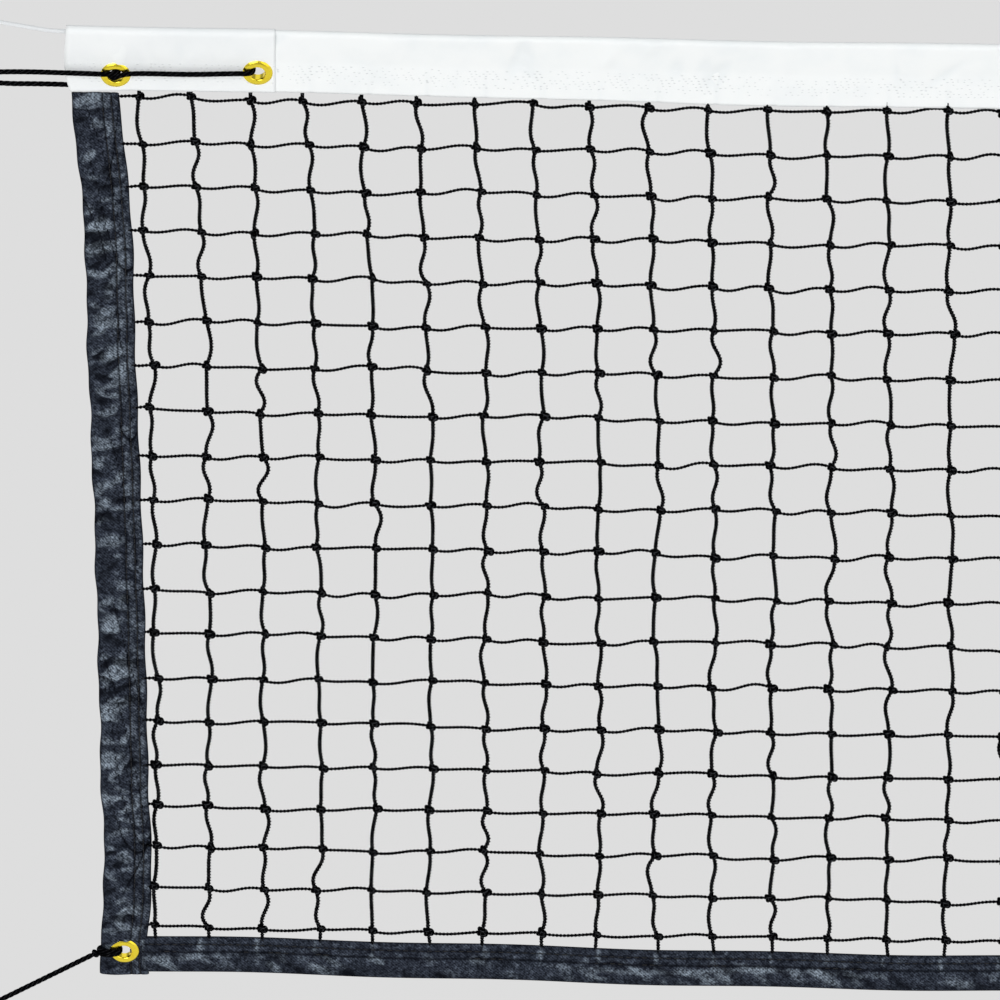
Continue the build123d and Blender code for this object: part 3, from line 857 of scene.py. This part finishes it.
SEAM_DROPS = (0.0335, 0.0363, 0.0390, 0.0418, 0.0446, 0.0474, 0.0502)  # rows, down from the top
SEAM_STITCH, HEM_STITCH = (0.0017, 0.0005, 0.00022), (0.0040, 0.0007, 0.0003)
SKIPPED = 0.42  # the share of the headband's stitches that don't show
CLEAR_OF_HOLE = 0.0135  # no stitch is nearer than this to an eyelet's middle
ON_PATCH, ON_BAND, ON_TAPE = 2.0 * MM, 1.2 * MM, 1.35 * MM  # how far from the net's plane they lie
seam_x = np.arange(LEFT + 0.006, RIGHT - 0.004, 0.0048)
for face, name in ((-1, "front"), (1, "back")):
    spots = []
    for number, drop in enumerate(SEAM_DROPS):
        x = seam_x + 0.0013 * number + rng.uniform(-0.0009, 0.0009, len(seam_x))
        x = x[rng.random(len(x)) > SKIPPED]
        for hole in (OUTER_HOLE, INNER_HOLE):
            for hole_x in (hole.x, MIRROR - hole.x):
                x = x[np.hypot(x - hole_x, BAND_TOP - drop - hole.z) > CLEAR_OF_HOLE]
        on_patch = (x < PATCH_END) | (x > MIRROR - PATCH_END)
        depth = np.where(on_patch, ON_PATCH, ON_BAND)
        z = (BAND_TOP - drop + 0.0004 * np.sin(x * 40 + number) + rng.normal(0, 0.00025, len(x))
             + band_lift(x) * (drop / (BAND_TOP - BAND_BOTTOM)) ** 2 - band_dip(x) + band_wander(x))
        spots.append(np.stack([x, face * depth, z], -1))
    spots = np.concatenate(spots)
    stitches(f"headband_stitching_{name}", spots, np.tile((1.0, 0, 0), (len(spots), 1)),
             (0, face, 0), SEAM_STITCH, PALE_THREAD, "headband", "headband_vinyl")

side_z = np.arange(HEM_BOTTOM + 0.003, SWING_Z - 0.002, 0.0050)
hem_seam_x = np.arange(HEM_START + 0.001, MIRROR - HEM_START, 0.0062)
for face, name in ((-1, "front"), (1, "back")):
    spots, ways = [], []
    for share in SIDE_SEAMS:
        x = LEFT + edge_inset(side_z) + edge_sway(side_z) + share * TAPE_WIDTH
        left_row = np.stack([x, np.full_like(x, face * ON_TAPE), side_z], -1)
        for row in (left_row, mirrored(left_row)):
            spots.append(row)
            ways.append(np.tile((0, 0, 1.0), (len(row), 1)))
    for share in HEM_SEAMS:
        z = HEM_BOTTOM + share * HEM_HEIGHT + hem_sway(hem_seam_x)
        spots.append(np.stack([hem_seam_x, np.full_like(z, face * ON_TAPE), z], -1))
        ways.append(np.tile((1.0, 0, 0), (len(z), 1)))
    stitches(f"hem_stitching_{name}", np.concatenate(spots), np.concatenate(ways), (0, face, 0),
             HEM_STITCH, DARK_THREAD, "curtain", "hem_cloth")


# --- netting --------------------------------------------------------------------------------------
order = np.arange(COLUMNS)


def at_both_ends(values):
    """The same amount in from each end of the net."""
    return values - values[::-1]


lean = at_both_ends(np.clip(12 - 0.5 * order, 0, None)) * MM
DRAWN_COLUMNS = 14  # the columns at each end that are drawn in
drawn_share = np.sin(np.pi * np.clip(order / DRAWN_COLUMNS, 0, 1)) ** 0.7 * (order < DRAWN_COLUMNS)
drawn_in = at_both_ends(7.0 * drawn_share) * MM
fall = (SWING_Z - row_z) / (SWING_Z - HEM_TOP)
leaning = 1.15 * (1 - (1 - np.clip(fall, 0, 1)) ** 3) - 0.35 * fall ** 2
zigzag = np.where(np.arange(ROWS) % 2, 1, -1)

# where each knot is, and how each cord hangs after it: the even place and a chance amount
knot_x = (column_x[:, None] - drawn_in[:, None] + lean[:, None] * leaning
          + rng.normal(0, 1.25 * MM, (COLUMNS, ROWS))
          + 0.6 * MM * zigzag * np.where(order % 2, 1, -1)[:, None])
knot_z = row_z[None] + rng.normal(0, 1.1 * MM, (COLUMNS, ROWS))
knot_z[:, -1] = row_z[-1] + rng.normal(0, 0.7 * MM, COLUMNS)
bow_upright = rng.normal(0, 1.5 * MM, (COLUMNS, ROWS))
wave_upright = rng.normal(0, 1.25 * MM, (COLUMNS, ROWS))
bow_level = rng.normal(-0.2 * MM, 0.8 * MM, (COLUMNS + 1, ROWS))
wave_level = rng.normal(-1.15 * MM, 0.62 * MM, (COLUMNS + 1, ROWS))
STRAIGHT_FROM = 14  # the rows from here down hang straighter
wave_level[:, STRAIGHT_FROM:] *= 0.55
knot_turn = rng.normal(0.65, 0.35, (COLUMNS, ROWS))
knot_size = rng.uniform(1.15, 1.50, (COLUMNS, ROWS))
TWINE_PITCH = 5.8 * MM
UPRIGHT_RADIUS, LEVEL_RADIUS, STUB_RADIUS, SEWN_RADIUS = 1.62 * MM, 1.20 * MM, 1.5 * MM, 0.9 * MM
SEWN_IN = 5 * MM  # how far upright cords run on into the headband and the bottom tape
LEVEL_SEWN_IN = 4 * MM  # how far level cords run into the side tapes
CROSSING = 0.7 * MM  # how far a level cord passes above or below a knot's middle


def knot_shape(count, sides):
    """The lump where two cords are knotted: one twine wound over and under itself."""
    t = np.linspace(0, 2 * np.pi, count, endpoint=False)
    line = np.stack([1.15 * (np.sin(t) + 2 * np.sin(2 * t)), -1.1 * np.sin(3 * t),
                     0.85 * (np.cos(t) - 2 * np.cos(2 * t))], -1) * 0.78 * MM
    return turned_tube(np.r_[line, line[:1]], 1.0 * MM, sides, TWINE_PITCH)


def lay_relief(length, angle):
    """Two strands twisted together."""
    return 0.84 + 0.36 * np.cos(2 * angle + 4 * np.pi * length / TWINE_PITCH)


def between(bow, wave, steps):
    """Steps from one knot to the next, and how far to the side a slack cord stands at each."""
    t = np.linspace(0, 1, steps + 1)
    side = bow * np.sin(np.pi * t) + wave * np.sin(2 * np.pi * t)
    return t, side


def tape_edge(z):
    """Where a level cord ends inside the left side tape."""
    return LEFT + edge_inset(z) + edge_sway(z) + TAPE_WIDTH - LEVEL_SEWN_IN


def panel(name, first, last, steps, level_steps, sides, knot_form, relief):
    """The netting from one column up to the next panel's first, with the level cords that reach it."""
    heap = Heap()
    knot_points, knot_quads, knot_uv = knot_form
    for c in range(first, last):
        line = []
        for r in range(ROWS - 1):
            t, side = between(bow_upright[c, r], wave_upright[c, r], steps)
            x = knot_x[c, r] + (knot_x[c, r + 1] - knot_x[c, r]) * t + side
            z = knot_z[c, r] + (knot_z[c, r + 1] - knot_z[c, r]) * t
            y = 0.5 * bow_level[c, r] * np.sin(np.pi * t)
            line.append(np.stack([x, y, z], -1)[:-1])
        line.append([[knot_x[c, -1], 0, knot_z[c, -1]]])
        heap.put(*tube(np.concatenate(line), UPRIGHT_RADIUS, sides, TWINE_PITCH, relief=relief))
        # down into the bottom tape, then up into the headband's mouth, where the cord is thinner
        foot = (knot_x[c, -1] + rng.normal(0, 1.0 * MM), 0, HEM_TOP - SEWN_IN)
        stub = np.linspace((knot_x[c, -1], 0, knot_z[c, -1]), foot, steps // 3 + 1)
        heap.put(*tube(stub, STUB_RADIUS, sides, TWINE_PITCH, relief=relief))
        mouth = BAND_BOTTOM + band_lift(knot_x[c, 0]) - 0.8 * MM
        head = np.r_[np.linspace(knot_z[c, 0], mouth, 4), mouth + 1.5 * MM, mouth + SEWN_IN]
        heap.put(*tube(np.stack([np.full(6, knot_x[c, 0]), np.zeros(6), head], -1),
                       np.where(head <= mouth, STUB_RADIUS, SEWN_RADIUS), sides, TWINE_PITCH))
        for r in range(ROWS):
            placed = knot_points @ spin(knot_turn[c, r]) * knot_size[c, r]
            heap.put(placed + (knot_x[c, r], 0, knot_z[c, r]), knot_quads, knot_uv)
    for c in range(first, last + (last == COLUMNS)):
        for r in range(ROWS):
            if c == 0:
                a, b = (tape_edge(knot_z[0, r]), knot_z[0, r] + 0.6 * MM), (knot_x[0, r], knot_z[0, r])
            elif c == COLUMNS:
                a = (knot_x[-1, r], knot_z[-1, r])
                b = (MIRROR - tape_edge(knot_z[-1, r]), knot_z[-1, r] + 0.6 * MM)
            else:
                a = (knot_x[c - 1, r], knot_z[c - 1, r] - CROSSING)
                b = (knot_x[c, r], knot_z[c, r] + CROSSING)
            t, side = between(bow_level[c, r], wave_level[c, r], level_steps)
            short = min(1.0, abs(b[0] - a[0]) / COLUMN_PITCH)
            x, z = a[0] + (b[0] - a[0]) * t, a[1] + (b[1] - a[1]) * t + side * short
            y = -0.5 * MM - 0.4 * bow_upright[min(c, COLUMNS - 1), r] * np.sin(np.pi * t)
            heap.put(*tube(np.stack([x, y, z], -1), LEVEL_RADIUS, sides, TWINE_PITCH, relief=relief))
    net = heap.made(name, TWINE)
    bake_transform(net)
    return net


# panels of netting, finely made near each end and plain between: the steps from knot to knot of
# upright and of level cords, the cords' sides, the knot and the strands
NEAR = (0, 3, 6, 9, 12, 15, 18)
FINE = (60, 44, 10, knot_shape(40, 8), lay_relief)
PLAIN = (5, 5, 4, knot_shape(18, 4), None)
cuts = list(NEAR) + [int(c) for c in np.linspace(NEAR[-1], COLUMNS - NEAR[-1], 11)[1:]]
cuts += [COLUMNS - c for c in NEAR[-2::-1]]
for number, (first, last) in enumerate(zip(cuts, cuts[1:])):
    near = last <= NEAR[-1] or first >= COLUMNS - NEAR[-1]
    net = panel(f"netting_{number + 1:02d}", first, last, *(FINE if near else PLAIN))
    if number == 0:
        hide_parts("netting_level_cords", "netting_upright_cords")

# --- CAD nodes that stay, with their finishes -----------------------------------------------------
FINISHES = {"headband_cable": ROPE, "cable_jacket": JACKET}
for side in ("left", "right"):
    FINISHES[f"cable_ferrule_{side}"] = FERRULE
    FINISHES[f"cable_thimble_{side}"] = STEEL
    for place in ("top_outer", "top_inner", "bottom"):
        FINISHES[f"eyelet_{place}_{side}"] = BRASS
        FINISHES[f"washer_{place}_{side}"] = BRASS
for node, material in FINISHES.items():
    for place in bpy.data.objects[node].material_slots:
        place.material = material

# --- floor and light ------------------------------------------------------------------------------
# the floor glows evenly, so that it is the same pale grey all over and takes almost no shadow
FLOOR_GREY, FLOOR_GLOW = (0.02, 0.02, 0.02), (0.715, 0.715, 0.715)
floor_material = Nodes("floor", FLOOR_GREY, 0.9)
floor_material.shader.inputs["Specular IOR Level"].default_value = 0.0
floor_material.shader.inputs["Emission Color"].default_value = (*FLOOR_GLOW, 1)
floor_material.shader.inputs["Emission Strength"].default_value = 1.0
# low enough to clear a tie line that hangs straight down
FLOOR_HALF, FLOOR_Z = 400.0, HEM_BOTTOM - 0.110
floor_corners = [(MIRROR / 2 + sx * FLOOR_HALF, sy * FLOOR_HALF, FLOOR_Z)
                 for sx, sy in ((-1, -1), (1, -1), (1, 1), (-1, 1))]
floor = mesh_object("floor", floor_corners, [(0, 1, 2, 3)], floor_material.material)

# a plain sky, paler overhead than below
world = bpy.data.worlds.new("world")
bpy.context.scene.world = world
world.use_nodes = True
sky = world.node_tree.nodes.new("ShaderNodeTexGradient")
place = world.node_tree.nodes.new("ShaderNodeTexCoord")
turned = world.node_tree.nodes.new("ShaderNodeMapping")
turned.inputs["Rotation"].default_value = (0, math.radians(-90), 0)
ramp = world.node_tree.nodes.new("ShaderNodeValToRGB")
ramp.color_ramp.elements[0].color = (0.42, 0.43, 0.44, 1)
ramp.color_ramp.elements[1].position = 0.8
ramp.color_ramp.elements[1].color = (1.0, 1.0, 1.0, 1)
background = world.node_tree.nodes["Background"]
background.inputs["Strength"].default_value = 0.72
for start, end in ((place.outputs["Generated"], turned.inputs["Vector"]),
                   (turned.outputs["Vector"], sky.inputs["Vector"]),
                   (sky.outputs["Color"], ramp.inputs["Fac"]),
                   (ramp.outputs["Color"], background.inputs["Color"])):
    world.node_tree.links.new(start, end)

# each sun's name, strength, the way its light goes, and its width in degrees
SUNS = (("key", 1.42, (0.5, 0.95, -0.75), 35),
        ("fill", 0.75, (-0.7, 0.6, -0.5), 60),
        ("top", 0.45, (0.1, -0.7, -0.9), 60))
for name, energy, way, spread in SUNS:
    sun = bpy.data.lights.new(name, "SUN")
    sun.energy, sun.angle = energy, math.radians(spread)
    lamp = bpy.data.objects.new(name, sun)
    lamp.rotation_mode = "QUATERNION"
    lamp.rotation_quaternion = Vector(way).to_track_quat("-Z", "Y")
    bpy.context.collection.objects.link(lamp)
bpy.context.scene.view_settings.view_transform = "Standard"
